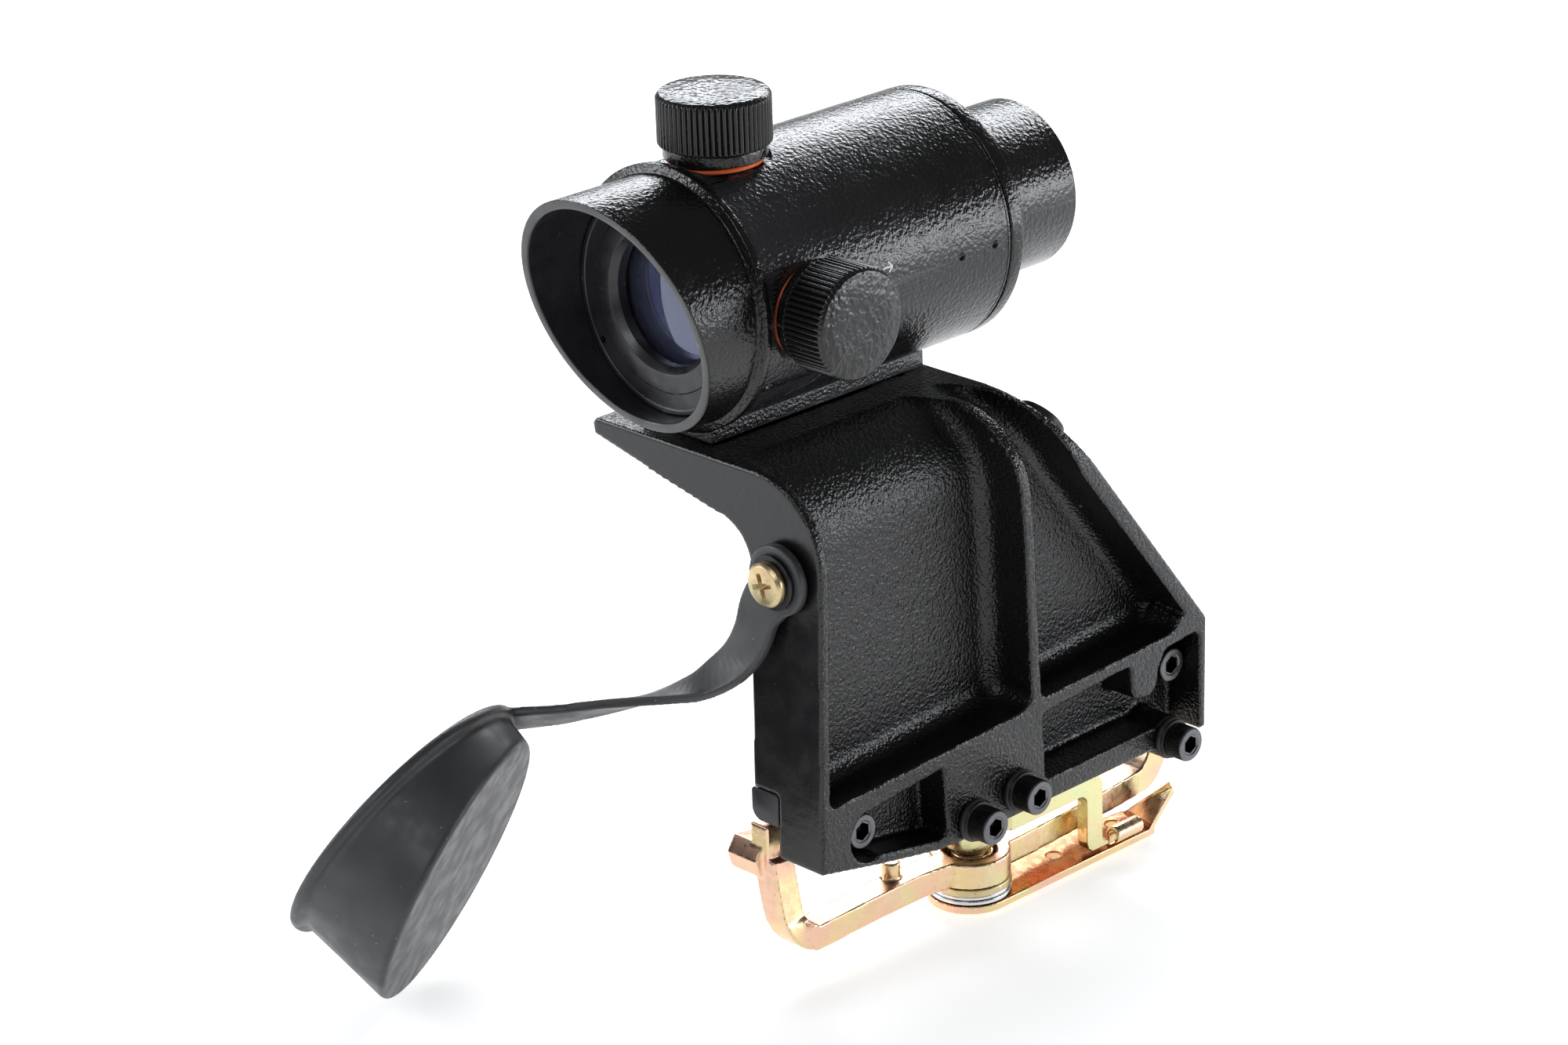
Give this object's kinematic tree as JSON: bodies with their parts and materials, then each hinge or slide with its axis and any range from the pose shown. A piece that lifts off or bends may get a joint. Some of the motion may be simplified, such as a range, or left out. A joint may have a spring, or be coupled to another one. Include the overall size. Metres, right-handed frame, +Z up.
{
  "type": "tube red-dot sight on a side-rail clamp bracket",
  "caption": "Tube aiming sight with slanted hood, two capped adjuster turrets, cast side bracket, quick-release rail clamp and rubber front cap on a strap.",
  "frame": {"origin": "middle of the rail seat, the flat inner face of the foot bar", "axes": "+Z up, +Y back along the tube's axis towards the eye, -X out of the rail seat towards the host's rail"},
  "size_m": [0.1074, 0.2203, 0.1995],
  "materials": {
    "black_paint": "semi-gloss black orange-peel enamel on cast and turned aluminium",
    "black_anodised": "satin black anodised",
    "black_oxide": "black oxide",
    "yellow_zinc": "yellow zinc plate with pink and green tints",
    "green_zinc": "yellow-green zinc plate",
    "rose_zinc": "yellow zinc plate, rose and orange tints",
    "white_zinc": "bright zinc plate",
    "brass": "turned brass",
    "spring_steel": "spring steel",
    "rubber": "matte moulded rubber",
    "orange_rubber": "satin silicone rubber",
    "glass": "anti-reflection coated, faint blue-violet tint",
    "red_plastic": "clear red moulded lens",
    "board": "solder-masked board"
  },
  "bodies": {
    "sight": {"hood": "black_paint", "main_tube": "black_paint", "tube_foot": "black_anodised", "foot_screw_1": "black_oxide", "foot_screw_2": "black_oxide", "front_retaining_ring": "black_anodised", "lens_seal": "orange_rubber", "objective_lens": "glass", "rear_cover": "black_paint", "rear_window": "glass", "rear_retaining_ring": "black_anodised", "carrier_spring": "spring_steel", "elevation_turret_base": "black_paint", "elevation_o_ring": "orange_rubber", "windage_turret_base": "black_paint", "windage_o_ring": "orange_rubber", "battery_housing": "black_paint", "battery_spring": "spring_steel", "battery": "white_zinc", "circuit_board": "board", "bracket": "black_paint", "foot_bar": "black_anodised", "socket_screw_a": "black_oxide", "socket_screw_b": "black_oxide", "socket_screw_c": "black_oxide", "socket_screw_d": "black_oxide", "socket_screw_e": "black_oxide", "screw_collar_b": "rubber", "screw_collar_c": "rubber", "screw_collar_d": "rubber", "strap_screw": "yellow_zinc", "strap_washer": "black_oxide", "rear_plug_screw": "yellow_zinc", "rear_rubber_washer": "rubber", "pivot_pin": "white_zinc", "thrust_washer": "yellow_zinc", "spring_washer": "white_zinc", "flat_washer": "white_zinc"},
    "gimbal": {"gimbal_ring": "black_oxide"},
    "carrier": {"inner_carrier": "black_anodised", "emitter_holder": "black_anodised", "emitter_led": "red_plastic"},
    "elevation_adjuster": {"elevation_adjuster_screw": "brass"},
    "windage_adjuster": {"windage_adjuster_screw": "brass"},
    "elevation_cap": {"elevation_turret_cap": "black_paint"},
    "windage_cap": {"windage_turret_cap": "black_paint"},
    "brightness_dial": {"brightness_ring": "black_oxide"},
    "battery_lid": {"battery_cap": "black_paint"},
    "clamp_jaw": {"clamp_arm": "yellow_zinc"},
    "latch": {"latch_hook": "green_zinc"},
    "lever": {"lever": "rose_zinc"},
    "front_cap": {"front_cap_strap": "rubber"}
  },
  "joints": [
    {"name": "elevation_cap_turn", "type": "hinge", "parent": "sight", "child": "elevation_cap", "pos_m": [-0.028, -0.042, 0.1494], "axis": [0, 0, 1], "continuous": true},
    {"name": "windage_cap_turn", "type": "hinge", "parent": "sight", "child": "windage_cap", "pos_m": [0.011, -0.042, 0.1104], "axis": [1, 0, 0], "continuous": true},
    {"name": "elevation_adjust", "type": "hinge", "parent": "sight", "child": "elevation_adjuster", "pos_m": [-0.028, -0.042, 0.1494], "axis": [0, 0, 1], "range_deg": [-360, 360]},
    {"name": "windage_adjust", "type": "hinge", "parent": "sight", "child": "windage_adjuster", "pos_m": [0.011, -0.042, 0.1104], "axis": [1, 0, 0], "range_deg": [-360, 360]},
    {"name": "gimbal_tilt", "type": "hinge", "parent": "sight", "child": "gimbal", "pos_m": [-0.028, 0.004, 0.1104], "axis": [1, 0, 0], "range_deg": [-0.55, 0.55]},
    {"name": "carrier_pan", "type": "hinge", "parent": "gimbal", "child": "carrier", "pos_m": [-0.028, 0.004, 0.1104], "axis": [0, 0, 1], "range_deg": [-0.55, 0.55]},
    {"name": "brightness_turn", "type": "hinge", "parent": "sight", "child": "brightness_dial", "pos_m": [-0.0626, -0.011, 0.1104], "axis": [-1, 0, 0], "range_deg": [0, 180]},
    {"name": "battery_cap_turn", "type": "hinge", "parent": "sight", "child": "battery_lid", "pos_m": [-0.066, -0.011, 0.1104], "axis": [-1, 0, 0], "continuous": true},
    {"name": "lever_swing", "type": "hinge", "parent": "sight", "child": "lever", "pos_m": [0.01, -0.004, -0.0426], "axis": [0, 0, -1], "range_deg": [0, 135]},
    {"name": "jaw_slide", "type": "slide", "parent": "sight", "child": "clamp_jaw", "axis": [-1, 0, 0], "range_m": [0, 0.0016]},
    {"name": "latch_flex", "type": "hinge", "parent": "sight", "child": "latch", "pos_m": [0.01, -0.004, -0.0256], "axis": [0, 0, -1], "range_deg": [0, 10], "stiffness_Nm_per_rad": 1},
    {"name": "strap_swing", "type": "hinge", "parent": "sight", "child": "front_cap", "pos_m": [0.0115, -0.0648, 0.0561], "axis": [0, -1, 0], "range_deg": [-40, 45]}
  ],
  "couplings": [
    {"joint": "gimbal_tilt", "follows": "elevation_adjust", "ratio": 0.001388},
    {"joint": "carrier_pan", "follows": "windage_adjust", "ratio": 0.001388},
    {"joint": "jaw_slide", "follows": "lever_swing", "m_per_rad": 0.00067}
  ]
}
